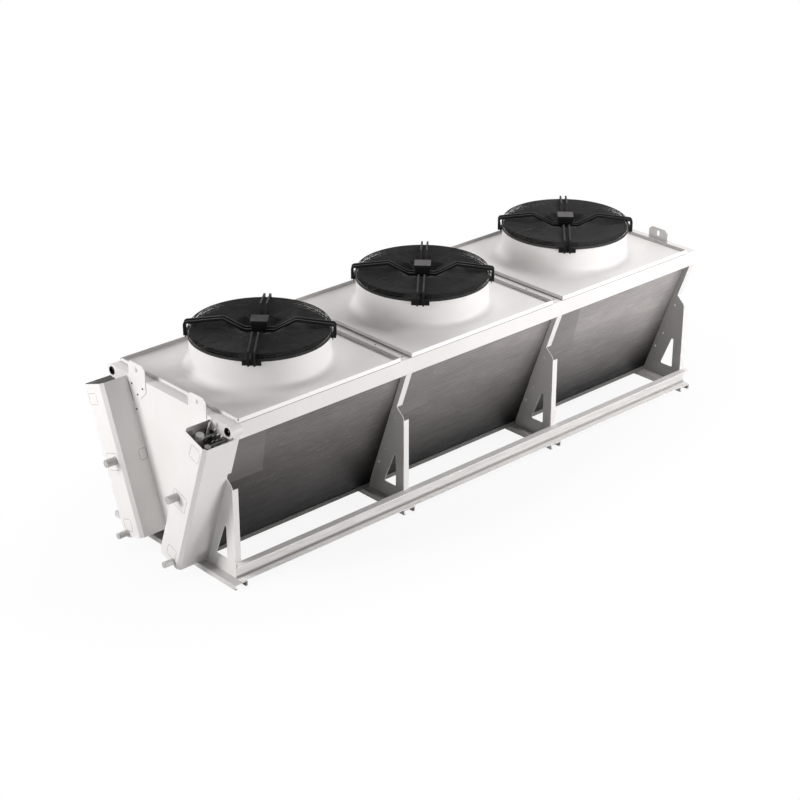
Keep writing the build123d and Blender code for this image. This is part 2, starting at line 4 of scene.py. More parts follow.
import bpy
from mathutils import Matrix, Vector


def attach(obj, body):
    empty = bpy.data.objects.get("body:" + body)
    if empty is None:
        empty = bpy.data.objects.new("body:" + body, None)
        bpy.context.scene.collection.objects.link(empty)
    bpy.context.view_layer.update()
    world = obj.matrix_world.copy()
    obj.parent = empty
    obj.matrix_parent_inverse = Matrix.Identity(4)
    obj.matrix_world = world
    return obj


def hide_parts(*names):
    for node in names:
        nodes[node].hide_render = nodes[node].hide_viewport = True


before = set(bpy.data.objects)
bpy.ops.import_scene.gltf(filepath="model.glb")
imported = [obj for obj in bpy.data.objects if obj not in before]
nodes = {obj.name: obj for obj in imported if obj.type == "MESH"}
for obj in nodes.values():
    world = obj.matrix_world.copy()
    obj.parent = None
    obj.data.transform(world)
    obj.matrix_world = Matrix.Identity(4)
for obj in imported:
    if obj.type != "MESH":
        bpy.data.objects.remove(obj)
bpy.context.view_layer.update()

# Sides of the machine, by the sign of Y
side_names = {-1: "right", 1: "left"}

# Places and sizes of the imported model
lean = radians(19.5)
lean_cos = cos(lean)
lean_sin = sin(lean)
bays = 3
bay_pitch = 1.450
first_frame = -2.043
frame_places = [first_frame + bay_pitch * i for i in range(bays + 1)]
plate_inset = 0.046         # from a frame to the next fan plate
half_plate = 0.674          # half the length of a fan plate
half_width = 0.620          # half the width of a fan plate
half_sheet = 0.0015         # half the thickness of the sheet of plates and cowls
first_fan = first_frame + plate_inset + half_plate
fan_places = [first_fan + bay_pitch * i for i in range(bays)]
deck = 1.130
rim_top = deck + 0.030
cowl_top = rim_top + 0.197
cowl_radius = 0.466
flange_radius = 0.084       # motor flange in the eye of a guard
lid_top = cowl_top + 0.085  # top of a terminal box
rail_web = 0.592            # middle of the web's sheet of a base rail
rail_foot = 0.038           # middle of the foot's sheet of a base rail
cover_top = 1.121
cover_top_y = 0.44012
cover_front = -2.282
cover_width = 0.223
stub_face = -2.3562         # just behind the cut faces of the pipe stubs

# Colours that several materials share
white_coat = (0.800, 0.792, 0.782)
white_dust = (0.690, 0.675, 0.655)
# A painted highlight, lighter than the white paint
highlight_white = (0.960, 0.955, 0.950)


# Nodes of a material
class Finish:
    """A material with its node tree and a few short ways to add nodes."""

    def __init__(self, name):
        self.material = bpy.data.materials.new(name)
        self.material.use_nodes = True
        self.tree = self.material.node_tree
        self.shader = self.tree.nodes["Principled BSDF"]
        self.place = self.add("ShaderNodeTexCoord").outputs["Object"]

    def add(self, kind, **values):
        node = self.tree.nodes.new(kind)
        for key, value in values.items():
            setattr(node, key, value)
        return node

    def put(self, socket, value):
        """Sets a socket to a number or colour, or links another socket to it."""
        if isinstance(value, bpy.types.NodeSocket):
            self.tree.links.new(value, socket)
        else:
            socket.default_value = value

    def math(self, operation, a, b=None, clamp=False):
        node = self.add("ShaderNodeMath", operation=operation, use_clamp=clamp)
        self.put(node.inputs[0], a)
        if b is not None:
            self.put(node.inputs[1], b)
        return node.outputs[0]

    def plus(self, a, b):
        return self.math("ADD", a, b)

    def minus(self, a, b):
        return self.math("SUBTRACT", a, b)

    def times(self, first, *others):
        for other in others:
            first = self.math("MULTIPLY", first, other)
        return first

    def over(self, a, b):
        return self.math("DIVIDE", a, b)

    def higher(self, a, b):
        return self.math("MAXIMUM", a, b)

    def unsigned(self, a):
        return self.math("ABSOLUTE", a)

    def below(self, a, limit):
        """1 where a value is less than its limit, else 0."""
        return self.math("LESS_THAN", a, limit)

    def above(self, a, limit):
        """1 where a value is more than its limit, else 0."""
        return self.math("GREATER_THAN", a, limit)

    def share(self, a, pitch):
        """How far a value is into its present step, from 0 to 1."""
        return self.math("FRACT", self.over(a, pitch))

    def off_middle(self, share):
        """How far a share is from the middle of its step, from 0 to a half."""
        return self.unsigned(self.minus(share, 0.5))

    def distance(self, a, b):
        """Distance from the middle of a place given by its two coordinates."""
        return self.math("SQRT", self.plus(self.times(a, a), self.times(b, b)))

    def axes(self):
        """The X, Y and Z of the place on the object."""
        node = self.add("ShaderNodeSeparateXYZ")
        self.put(node.inputs[0], self.place)
        return node.outputs

    def bay_share(self, start):
        """How far into its bay a place is, from 0 to 1, with the start of a bay given."""
        return self.share(self.minus(self.axes()[0], start), bay_pitch)

    def plate_share(self):
        """How far into its bay a place is, with the fan at a half."""
        return self.bay_share(first_fan - bay_pitch / 2)

    def fan_radius(self):
        """Distance from the axis of the nearest fan."""
        off = self.times(self.minus(self.plate_share(), 0.5), bay_pitch)
        return self.distance(off, self.axes()[1])

    def scaled(self, x, y, z):
        node = self.add("ShaderNodeMapping")
        self.put(node.inputs["Vector"], self.place)
        node.inputs["Scale"].default_value = (x, y, z)
        return node.outputs[0]

    def noise(self, scale, detail, roughness=0.5, vector=None):
        node = self.add("ShaderNodeTexNoise")
        self.put(node.inputs["Vector"], vector or self.place)
        node.inputs["Scale"].default_value = scale
        node.inputs["Detail"].default_value = detail
        node.inputs["Roughness"].default_value = roughness
        return node.outputs["Fac"]

    def ramp(self, value, low, high, out_low=0.0, out_high=1.0):
        node = self.add("ShaderNodeMapRange", clamp=True)
        self.put(node.inputs["Value"], value)
        node.inputs["From Min"].default_value = low
        node.inputs["From Max"].default_value = high
        node.inputs["To Min"].default_value = out_low
        node.inputs["To Max"].default_value = out_high
        return node.outputs[0]

    def blend(self, factor, first, second):
        node = self.add("ShaderNodeMix", data_type="RGBA")
        self.put(node.inputs[0], factor)
        for socket, tint in ((node.inputs[6], first), (node.inputs[7], second)):
            self.put(socket, tint if isinstance(tint, bpy.types.NodeSocket) else (*tint, 1.0))
        return node.outputs[2]

    def colour(self, value):
        self.put(self.shader.inputs["Base Color"], value)

    def coat(self, factor, tint):
        """Lays a colour over the present one."""
        present = self.shader.inputs["Base Color"].links[0].from_socket
        self.colour(self.blend(factor, present, tint))

    def rough(self, value):
        self.put(self.shader.inputs["Roughness"], value)

    def shine(self, level):
        self.shader.inputs["Specular IOR Level"].default_value = level

    def metallic(self, level):
        self.shader.inputs["Metallic"].default_value = level

    def bump(self, height, strength, distance):
        node = self.add("ShaderNodeBump")
        node.inputs["Strength"].default_value = strength
        node.inputs["Distance"].default_value = distance
        self.put(node.inputs["Height"], height)
        last = self.shader.inputs["Normal"]
        if last.is_linked:
            self.put(node.inputs["Normal"], last.links[0].from_socket)
        self.put(last, node.outputs[0])


# Materials that other materials start from
def paint(name, base=white_coat, dust=white_dust, rough=0.42, dirt_height=0.30):
    """Powder coat: orange peel, uneven gloss, faint streaks and dust near the floor."""
    finish = Finish(name)
    cloud = finish.ramp(finish.noise(1.7, 4.0, 0.6), 0.35, 0.70, 0.0, 0.45)
    lines = finish.noise(1.0, 3.0, 0.6, finish.scaled(26.0, 26.0, 1.3))
    streak = finish.ramp(lines, 0.52, 0.78, 0.0, 0.40)
    low = finish.ramp(finish.axes()[2], 0.0, dirt_height, 0.40, 0.0)
    grime_and_shade = finish.times(low, finish.ramp(finish.noise(9.0, 5.0, 0.65), 0.30, 0.75))
    amount = finish.math("ADD", finish.higher(cloud, streak), grime_and_shade, clamp=True)
    finish.colour(finish.blend(amount, base, dust))
    finish.rough(finish.ramp(finish.noise(14.0, 3.0), 0.3, 0.7, rough - 0.06, rough + 0.08))
    finish.bump(finish.noise(620.0, 1.0), 0.10, 0.0004)
    finish.shine(0.45)
    return finish


def dark(name, base, light, rough, grain=420.0):
    """Black coating or plastic with a fine grain, dull and shiny zones and settled dust."""
    finish = Finish(name)
    zone = finish.ramp(finish.noise(6.0, 4.0, 0.6), 0.35, 0.72)
    fine = finish.noise(grain, 2.0, 0.6)
    settled = finish.times(zone, finish.ramp(fine, 0.3, 0.7, 0.5, 1.0))
    finish.colour(finish.blend(settled, base, light))
    finish.rough(finish.ramp(finish.noise(22.0, 3.0), 0.3, 0.7, rough - 0.07, rough + 0.09))
    finish.bump(fine, 0.18, 0.0003)
    finish.shine(0.12)
    return finish


def metal(name, base, tint, rough, metallic):
    """Bare or plated metal with brushed grain and dull spots."""
    finish = Finish(name)
    grain = finish.noise(1.0, 3.0, 0.6, finish.scaled(60.0, 60.0, 500.0))
    spots = finish.ramp(finish.noise(45.0, 4.0, 0.6), 0.45, 0.72)
    finish.colour(finish.blend(spots, base, tint))
    finish.rough(finish.ramp(grain, 0.3, 0.7, rough - 0.08, rough + 0.12))
    finish.metallic(metallic)
    finish.bump(grain, 0.12, 0.0003)
    return finish


# Materials of the nodes
def coil_finish():
    """Fin pack: fins, tube rows, bright end sheets, painted glints, a smooth zone in each bay with a
    painted reflection, and painted shade towards the foot and the frames that lifts towards the far end.
    """
    row_pitch = 0.025
    fin_pitch = 0.0024
    coil_foot = 0.13
    coil_middle = 0.134
    end_sheets = 2.1752     # they lie further than this from the coil's middle
    # Near black, for the painted shade
    shade_black = (0.008, 0.008, 0.008)
    finish = Finish("coil_fins")
    x, y, z = finish.axes()

    up_slope = finish.plus(finish.times(finish.unsigned(y), lean_sin), finish.times(z, lean_cos))
    row = finish.off_middle(finish.share(up_slope, row_pitch))
    fin = finish.off_middle(finish.share(x, fin_pitch))
    wobble = finish.noise(1.0, 3.0, 0.6, finish.scaled(7.0, 34.0, 34.0))
    bay = finish.bay_share(first_frame)
    # A smooth zone beside each frame, without grooves; its lighter colour is a painted reflection of the
    # white frame
    smooth_reach = finish.plus(finish.times(z, -0.11), 0.32)
    smooth = finish.times(finish.below(bay, smooth_reach), finish.ramp(z, 0.625, 0.632))
    streaky = finish.minus(1.0, finish.times(smooth, 0.85))
    groove = finish.times(finish.ramp(row, 0.28, 0.46), finish.ramp(wobble, 0.36, 0.56), streaky)
    # Painted glints: small highlights along the tube rows, high up the coil
    flecks = finish.noise(1.0, 2.0, 0.7, finish.scaled(16.0, 50.0, 50.0))
    painted_glint = finish.times(finish.ramp(row, 0.20, 0.06), finish.ramp(flecks, 0.56, 0.66), streaky,
                         finish.ramp(z, 0.28, 0.60))
    clouds = finish.noise(1.0, 4.0, 0.6, finish.scaled(2.2, 5.0, 5.0))

    # Painted shade and light: near black at the foot, lighter up the slope, and lighter towards the far
    # end
    full_rise = finish.ramp(x, 0.80, 2.00, 0.81, 0.57)
    rise = finish.math("DIVIDE", finish.minus(z, coil_foot), full_rise, clamp=True)
    top = finish.blend(finish.ramp(x, -2.1, 2.3), (0.156, 0.143, 0.140), (0.532, 0.503, 0.496))
    finish.colour(finish.blend(rise, (0.007, 0.007, 0.007), top))
    finish.coat(finish.times(smooth, 0.55), (0.230, 0.220, 0.214))
    finish.coat(finish.times(finish.ramp(clouds, 0.35, 0.70), 0.22), (0.045, 0.042, 0.040))
    finish.coat(finish.times(groove, 0.27), (0.010, 0.010, 0.010))
    finish.coat(finish.times(painted_glint, 0.22), (0.480, 0.465, 0.450))
    finish.coat(finish.times(finish.ramp(fin, 0.28, 0.5), 0.25), (0.02, 0.02, 0.02))
    # Painted shade low in the first bay, by the header end
    finish.coat(finish.times(finish.ramp(x, -1.90, -1.20, 0.85, 0.0), finish.ramp(z, 0.85, 0.15)), shade_black)
    # Painted shade at the far end of each bay, beside the next frame, wider low down
    shade = finish.ramp(finish.minus(bay, finish.ramp(z, 0.10, 1.00, 0.0, 0.15)), 0.78, 0.97)
    finish.coat(finish.times(shade, 0.75), shade_black)
    end = finish.above(finish.unsigned(finish.minus(x, coil_middle)), end_sheets)
    finish.coat(end, finish.blend(wobble, (0.380, 0.362, 0.346), (0.480, 0.462, 0.446)))

    finish.rough(finish.ramp(wobble, 0.3, 0.7, 0.42, 0.56))
    finish.metallic(0.45)
    finish.shine(0.12)
    finish.bump(finish.minus(1.0, groove), 0.5, 0.0012)
    finish.bump(finish.minus(0.5, fin), 0.25, 0.0006)
    return finish


def cowl_finish():
    """White outside, with painted shade that darkens the inside of the ring."""
    finish = paint("white_cowl", (0.815, 0.808, 0.800), (0.730, 0.717, 0.700),
                   rough=0.60, dirt_height=0.01)
    # Painted shade, mottled, on the inside of the ring below its top edge
    inside = finish.times(finish.below(finish.fan_radius(), cowl_radius - half_sheet),
                          finish.ramp(finish.axes()[2], cowl_top - 0.0035, cowl_top - 0.0055))
    shade_mottle = finish.ramp(finish.noise(8.0, 4.0, 0.6), 0.3, 0.7)
    finish.coat(inside, finish.blend(shade_mottle, (0.030, 0.030, 0.031), (0.060, 0.058, 0.056)))
    finish.shine(0.25)
    return finish


def plate_finish():
    """White, with painted shade on the inner faces of the upturned edges and a painted highlight on their
    outer faces.
    """
    finish = paint("white_plate")
    x, y, z = finish.axes()
    along = finish.times(finish.off_middle(finish.plate_share()), bay_pitch)
    out = finish.unsigned(y)
    inner = finish.times(finish.below(out, half_width - half_sheet),
                         finish.below(along, half_plate - half_sheet))
    upright = finish.times(finish.above(z, deck + 0.0035), finish.below(z, rim_top - 0.0003))
    # Painted shade, mottled, on the inner faces of the upturned edges, darker along the sides towards the
    # far end
    grime_and_shade = finish.ramp(finish.noise(5.0, 4.0, 0.6), 0.3, 0.7, 0.75, 1.0)
    side_shade = finish.blend(finish.ramp(x, -1.3, 1.6), (0.640, 0.628, 0.614), (0.300, 0.293, 0.286))
    on_side = finish.above(out, half_width - 0.004)
    rim_shade = finish.blend(on_side, (0.530, 0.520, 0.508), side_shade)
    finish.coat(finish.times(inner, upright, grime_and_shade), rim_shade)
    # Painted highlight on the outer faces of the upturned edges
    outside = finish.times(finish.above(out, half_width - 0.0008), finish.above(z, deck + 0.001))
    finish.coat(outside, highlight_white)
    return finish


def cover_finish():
    """White outside, with painted shade low on the outer wall, a painted highlight on the inner wall and
    the cut corner that fades downwards, and darker grey inside.
    """
    skin = 0.0014           # between the outer and the inner face of the sheet
    corner_skin = 0.0242    # the same at a cut corner, with depth and distance across added
    finish = paint("white_cover")
    x, y, z = finish.axes()
    away = finish.minus(finish.unsigned(y), cover_top_y)
    fall = finish.minus(cover_top, z)
    across = finish.plus(finish.times(away, lean_cos), finish.times(fall, lean_sin))
    depth = finish.minus(x, cover_front)
    behind = finish.above(depth, skin)
    near = finish.above(finish.plus(depth, across), corner_skin)
    far = finish.above(finish.minus(depth, across), corner_skin - cover_width)
    between = finish.times(finish.above(across, skin), finish.below(across, cover_width - skin))

    # Painted shade towards the foot of the outer wall
    outer_wall = finish.above(across, cover_width - 0.0012)
    finish.coat(finish.times(outer_wall, finish.ramp(z, 0.12, 0.62, 0.62, 0.0)), (0.400, 0.392, 0.384))
    # Painted highlight on the inner wall and the cut corner, fading out below z = 0.40
    highlight_faces = finish.higher(finish.below(across, 0.0012), finish.times(finish.minus(1.0, near), behind))
    finish.coat(finish.times(highlight_faces, finish.ramp(z, 0.40, 1.00, 0.0, 0.9)), (0.950, 0.944, 0.937))
    # Darker grey on the inside faces of the sheet
    cloud = finish.ramp(finish.noise(12.0, 4.0, 0.6), 0.3, 0.7)
    inside_grey = finish.blend(cloud, (0.420, 0.413, 0.404), (0.520, 0.511, 0.500))
    finish.coat(finish.times(between, behind, near, far), inside_grey)
    return finish


def frame_finish():
    """White, with painted shade on the webs of the frames at the far end."""
    margin = 0.010          # a bay is counted from this far before its frame
    web_face = 0.0012       # the web's face is no further than this past its frame's place
    finish = paint("white_frame")
    # Painted shade on the webs, deeper towards the far end
    web = finish.below(finish.bay_share(first_frame - margin), (margin + web_face) / bay_pitch)
    far = finish.ramp(finish.axes()[0], 1.2, 2.2, 0.0, 0.62)
    finish.coat(finish.times(web, far), (0.280, 0.276, 0.272))
    return finish


def rail_finish():
    """Lighter white that stands in for more light on the rails, with dust streaks on the web, a painted
    highlight on the foot and painted shade in the fold above the foot.
    """
    # A lighter copy of the white paint: painted light on the rails
    finish = paint("white_rail", (0.900, 0.893, 0.884), (0.790, 0.776, 0.758))
    x, y, z = finish.axes()
    out = finish.unsigned(y)
    web = finish.times(finish.below(out, rail_web + 0.005), finish.below(z, 0.143))
    lines = finish.noise(1.0, 4.0, 0.6, finish.scaled(4.0, 40.0, 60.0))
    finish.coat(finish.times(web, finish.ramp(lines, 0.35, 0.65, 0.25, 0.85)), (0.640, 0.628, 0.612))
    # Painted highlight on the foot
    foot = finish.times(finish.above(out, rail_web + 0.020), finish.below(z, rail_foot + 0.0005))
    finish.coat(foot, highlight_white)
    # Painted shade in the fold above the foot, deeper at the header end
    past_web = finish.higher(finish.minus(out, rail_web), 0.0)
    over_foot = finish.higher(finish.minus(z, rail_foot), 0.0)
    fold = finish.ramp(finish.plus(past_web, finish.times(over_foot, 1.5)), 0.012, 0.032, 1.0, 0.0)
    finish.coat(finish.times(fold, finish.ramp(x, -1.5, 1.5, 1.0, 0.60)), (0.330, 0.320, 0.308))
    return finish


def pipe_finish():
    """Grey paint, lighter on the free ends, short of their cut faces."""
    finish = paint("pipe_grey", (0.430, 0.426, 0.420), (0.350, 0.342, 0.336),
                   rough=0.46, dirt_height=0.10)
    x = finish.axes()[0]
    free = finish.times(finish.below(x, cover_front - 0.001), finish.above(x, stub_face))
    finish.coat(finish.times(free, 0.8), (0.620, 0.614, 0.606))
    return finish


def motor_finish():
    """Black coating, lighter on the flange in the guard's eye, with a painted highlight on the lid tops
    past the first fan.
    """
    finish = dark("black_coat", (0.008, 0.008, 0.008), (0.015, 0.014, 0.014), 0.50)
    radius = finish.fan_radius()
    height = finish.axes()[2]
    flange = finish.times(finish.below(radius, flange_radius + 0.016),
                          finish.below(height, cowl_top + 0.0015))
    finish.coat(flange, (0.075, 0.073, 0.071))
    # Painted highlight on the tops of the lids, past the first fan
    lid = finish.times(finish.below(radius, flange_radius), finish.above(height, lid_top - 0.0005))
    finish.coat(finish.times(lid, finish.ramp(finish.axes()[0], -1.0, -0.3)), (0.085, 0.082, 0.081))
    return finish


def guard_finish():
    """Black coating on wire, greyer towards the far end as painted haze."""
    finish = dark("black_wire", (0.022, 0.0215, 0.0215), (0.036, 0.035, 0.035), 0.55)
    # Painted haze: greyer towards the far end
    finish.coat(finish.ramp(finish.axes()[0], 0.5, 1.1, 0.0, 0.8), (0.046, 0.045, 0.045))
    return finish


def impeller_finish():
    """Black plastic, lighter grey on the rotor bell."""
    finish = dark("black_plastic", (0.016, 0.017, 0.017), (0.030, 0.029, 0.029), 0.44, grain=260.0)
    finish.coat(finish.ramp(finish.fan_radius(), 0.17, 0.12), (0.110, 0.107, 0.104))
    return finish


white = paint("white_paint").material
# A darker copy of the white paint: painted shade on the cross members and deck beams
shaded_white_beam = paint("shaded_white_beam", (0.640, 0.633, 0.624), (0.550, 0.538, 0.522)).material
black_wire = guard_finish().material
rubber = dark("black_rubber", (0.010, 0.010, 0.010), (0.022, 0.021, 0.020), 0.62, grain=700.0).material
slit = dark("slit_shadow", (0.230, 0.224, 0.218), (0.330, 0.322, 0.314), 0.60).material
seam = dark("seam_shadow", (0.055, 0.053, 0.051), (0.095, 0.091, 0.088), 0.60).material
galvanised = metal("galvanised", (0.420, 0.410, 0.400), (0.320, 0.312, 0.304), 0.55, 0.3).material
zinc = metal("zinc_screws", (0.86, 0.86, 0.85), (0.66, 0.65, 0.63), 0.34, 0.3).material
dark_screw = metal("dark_screws", (0.10, 0.10, 0.10), (0.05, 0.05, 0.05), 0.45, 0.6).material
tube_metal = metal("tube_metal", (0.74, 0.71, 0.68), (0.52, 0.49, 0.46), 0.34, 0.9).material

# Material of each node by the start of its name. The other nodes are white.
finishes = {
    "base_rail": rail_finish().material,
    "base_tray": paint("grey_paint", (0.300, 0.297, 0.292), (0.235, 0.228, 0.220), rough=0.50).material,
    "beam_plugs": rubber,
    "coil": coil_finish().material,
    "cross_members": shaded_white_beam,
    "deck_beam": shaded_white_beam,
    "fan_cowl": cowl_finish().material,
    "fan_guard": black_wire,
    "fan_motor": motor_finish().material,
    "fan_plate": plate_finish().material,
    "header_cover": cover_finish().material,
    "header_pipes": pipe_finish().material,
    "impeller": impeller_finish().material,
    "side_frame": frame_finish().material,
}
for name, node in nodes.items():
    chosen = [material for start, material in finishes.items() if name.startswith(start)]
    for place in node.material_slots:
        place.material = chosen[0] if chosen else white


# Shapes
circle_steps = 120
sharp_angle = radians(38)
outline_width = 0.0022
outline_lift = 0.0003


def turns_of(steps):
    """The angles of a circle in even steps."""
    return [2 * pi * k / steps for k in range(steps)]


def square_to(way):
    """Two directions square to a direction and to each other."""
    helper = Vector((0, 0, 1)) if abs(way.z) < 0.9 else Vector((1, 0, 0))
    side = way.cross(helper).normalized()
    return side, way.cross(side)


class Shape:
    """Collects corners and faces of one piece."""

    def __init__(self):
        self.points = []
        self.faces = []

    def add(self, points, faces):
        start = len(self.points)
        self.points += [tuple(p) for p in points]
        self.faces += [tuple(start + i for i in face) for face in faces]

    def tube(self, path, radius, sides=8, closed=False, caps=True):
        """A round tube along a list of points."""
        path = [Vector(p) for p in path]
        count = len(path)
        ways = []
        for i in range(count):
            after = path[(i + 1) % count] if closed or i < count - 1 else path[i]
            before = path[i - 1] if closed or i > 0 else path[i]
            ways.append((after - before).normalized())
        normal = square_to(ways[0])[0]
        points = []
        for i in range(count):
            if i:
                normal = (normal - ways[i] * normal.dot(ways[i])).normalized()
            other = ways[i].cross(normal)
            for turn in turns_of(sides):
                points.append(path[i] + normal * (radius * cos(turn)) + other * (radius * sin(turn)))
        faces = []
        for i in range(count if closed else count - 1):
            j = (i + 1) % count
            for k in range(sides):
                n = (k + 1) % sides
                faces.append((i * sides + k, i * sides + n, j * sides + n, j * sides + k))
        if caps and not closed:
            faces.append(tuple(range(sides - 1, -1, -1)))
            faces.append(tuple((count - 1) * sides + k for k in range(sides)))
        self.add(points, faces)

    def ring(self, x, z, radius, wire):
        """A flat wire ring about a fan axis."""
        path = [(x + radius * cos(turn), radius * sin(turn), z) for turn in turns_of(circle_steps)]
        self.tube(path, wire / 2, 6, closed=True)

    def turned(self, x, profile):
        """A closed profile of (radius, height) pairs turned about a fan axis."""
        size = len(profile)
        points = []
        for turn in turns_of(circle_steps):
            points += [(x + r * cos(turn), r * sin(turn), z) for r, z in profile]
        faces = []
        for i in range(circle_steps):
            j = (i + 1) % circle_steps
            for k in range(size):
                n = (k + 1) % size
                faces.append((i * size + k, j * size + k, j * size + n, i * size + n))
        self.add(points, faces)

    def stack(self, loops):
        """Skin over loops with as many points each, closed at the last loop."""
        count = len(loops[0])
        points = [p for loop in loops for p in loop]
        faces = [(r * count + k, r * count + (k + 1) % count,
                  (r + 1) * count + (k + 1) % count, (r + 1) * count + k)
                 for r in range(len(loops) - 1) for k in range(count)]
        faces.append(tuple((len(loops) - 1) * count + k for k in range(count)))
        self.add(points, faces)

    def screw(self, place, way, across=0.013, height=0.0055, flange=0.019):
        """Hexagon flange screw: its foot at a place, its head along a direction."""
        way = Vector(way).normalized()
        side, up = square_to(way)
        place = Vector(place)

        def circle(radius, level, count):
            return [place + way * level + side * (radius * cos(turn)) + up * (radius * sin(turn))
                    for turn in turns_of(count)]

        self.stack([circle(flange / 2, 0, 12), circle(flange / 2, height * 0.16, 12),
                    circle(flange * 0.42, height * 0.30, 12)])
        corner = across / 2 / cos(pi / 6)
        self.stack([circle(corner, height * 0.25, 6), circle(corner, height * 0.90, 6),
                    circle(corner * 0.88, height, 6)])

    def strip(self, start, end, width_way, width, lift_way, lift):
        """A thin raised ribbon from one point to another."""
        start, end = Vector(start), Vector(end)
        half = Vector(width_way).normalized() * (width / 2)
        rise = Vector(lift_way).normalized() * lift
        points = [start - half, start + half, end + half, end - half]
        points += [p + rise for p in points]
        edges = [(i, i + 4, (i + 1) % 4 + 4, (i + 1) % 4) for i in range(4)]
        self.add(points, [(0, 1, 2, 3), (7, 6, 5, 4), *edges])

    def outline(self, corners, facing, lift_way, gap):
        """Thin ribbons from corner to corner, open at each corner by a gap."""
        for i, corner in enumerate(corners):
            start, end = Vector(corner), Vector(corners[(i + 1) % len(corners)])
            along = (end - start).normalized()
            self.strip(start + along * gap, end - along * gap, along.cross(Vector(facing)), outline_width,
                       lift_way, outline_lift)

    def make(self, name, material, smooth=True):
        """Makes the piece of the collected shape. It stays on the cabinet."""
        mesh = bpy.data.meshes.new(name)
        mesh.from_pydata(self.points, [], self.faces)
        mesh.validate()
        piece = bpy.data.objects.new(name, mesh)
        bpy.context.scene.collection.objects.link(piece)
        mesh.materials.append(material)
        for face in mesh.polygons:
            face.use_smooth = smooth
        if smooth:
            mesh.set_sharp_from_angle(angle=sharp_angle)
        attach(piece, "cabinet")
        return piece


def cover_point(side, x, across, down):
    """A point in a header cover: side is -1 for the right one, 1 for the left one."""
    y = cover_top_y + lean_cos * across - lean_sin * down
    z = cover_top - lean_sin * across - lean_cos * down
    return (x, side * y, z)


# Guards and lips of the cowls
crown = 1.3968
ring_wire = 0.0042
side_ring_wire = 0.0044
spoke_radius = 0.0020
spokes = 36
rim_rings = 10
rim_ring_start = 0.4620
rim_ring_pitch = 0.0095
inner_rings = 27
inner_ring_start = 0.3672
inner_ring_pitch = 0.0108
dish_radius = 0.1680
dish_slope = 0.6
spoke_path = [(0.0862, crown - 0.0525), (dish_radius, crown - 0.0034), (0.4560, crown - 0.0034),
              (0.4630, crown - 0.0056), (0.4672, crown - 0.0106), (0.4696, crown - 0.0350)]
side_rings = ((crown - 0.0070, 0.4668), (crown - 0.0200, 0.4690))
skirt_inner = cowl_radius + 0.0034
skirt_outer = cowl_radius + 0.0052
skirt_foot = cowl_top - 0.0138
skirt_top = cowl_top + 0.0066
lip_radius = cowl_radius - 0.0030
lip_height = cowl_top - 0.0008


def make_guard(number, x):
    """Basket of rings on spokes, dished in the middle, with a skirt round the cowl."""
    guard = Shape()
    for i in range(rim_rings):
        guard.ring(x, crown, rim_ring_start - rim_ring_pitch * i, ring_wire)
    for i in range(inner_rings):
        radius = inner_ring_start - inner_ring_pitch * i
        guard.ring(x, crown - dish_slope * max(0.0, dish_radius - radius), radius, ring_wire)
    for height, radius in side_rings:
        guard.ring(x, height, radius, side_ring_wire)
    for k in range(spokes):
        turn = 2 * pi * (k + 0.5) / spokes
        guard.tube([(x + r * cos(turn), r * sin(turn), z) for r, z in spoke_path], spoke_radius, 5)
    guard.turned(x, [(skirt_inner, skirt_foot), (skirt_outer, skirt_foot),
                     (skirt_outer, skirt_top), (skirt_inner, skirt_top)])
    piece = guard.make(f"guard_basket_{number}", black_wire)
    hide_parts(f"fan_guard_{number}")


def make_lip(number, x):
    """Rounded edge on top of a cowl."""
    lip = Shape()
    lip.turned(x, [(lip_radius + 0.0034 * cos(pi * k / 6), lip_height + 0.0022 * sin(pi * k / 6))
                   for k in range(12)])
    lip.make(f"cowl_lip_{number}", white)


for number, x in enumerate(fan_places, 1):
    make_guard(number, x)
    make_lip(number, x)


# Screws on the terminal boxes
box_screw = {"across": 0.006, "height": 0.0030, "flange": 0.009}
box_screw_foot = lid_top - 0.0032
box_screw_along = (-0.045, 0.045)
box_screw_across = (-0.047, 0.047)


def box_point(x, along, across, z):
    """A point of a terminal box, which stands turned by 45 degrees."""
    turn = pi / 4
    return (x + along * cos(turn) - across * sin(turn), along * sin(turn) + across * cos(turn), z)


for number, x in enumerate(fan_places, 1):
    fittings = Shape()
    for across in box_screw_across:
        for along in box_screw_along:
            fittings.screw(box_point(x, along, across, box_screw_foot), (0, 0, 1), **box_screw)
    fittings.make(f"box_screws_{number}", zinc)


# Screws on the side frames and the band
small_screw = {"across": 0.010, "height": 0.004, "flange": 0.015}
web_screws = ((0.503, 0.663), (0.404, 0.398), (0.335, 0.269))
band_screw_height = 1.0465
band_screw_step = 0.038     # past the web of a frame
first_band_screws = (first_frame + 0.013, first_frame + 0.033)

screws = Shape()
for place in frame_places:
    for side in side_names:
        for y, z in web_screws:
            screws.screw((place, side * y, z), (-1, 0, 0))
for side in side_names:
    for place in frame_places[1:]:
        screws.screw((place + band_screw_step, side * half_width, band_screw_height), (0, side, 0),
                     **small_screw)
    for x in first_band_screws:
        screws.screw((x, side * half_width, band_screw_height + 0.0005), (0, side, 0), **small_screw)
screws.make("frame_screws", zinc)


# Dark screws at the header end and on the deck beams
deck_screw = {"across": 0.008, "height": 0.003, "flange": 0.012}
end_screws = {-1: ((0.388, 1.085), (0.329, 1.025)),
              1: ((0.388, 1.085), (0.271, 1.084), (0.329, 1.025))}
end_face = first_frame - 0.042
end_plate_screw = (0.350, 0.910)
beam_screws = ((0.006, 0.301), (0.006, 0.566), (0.075, 0.592))

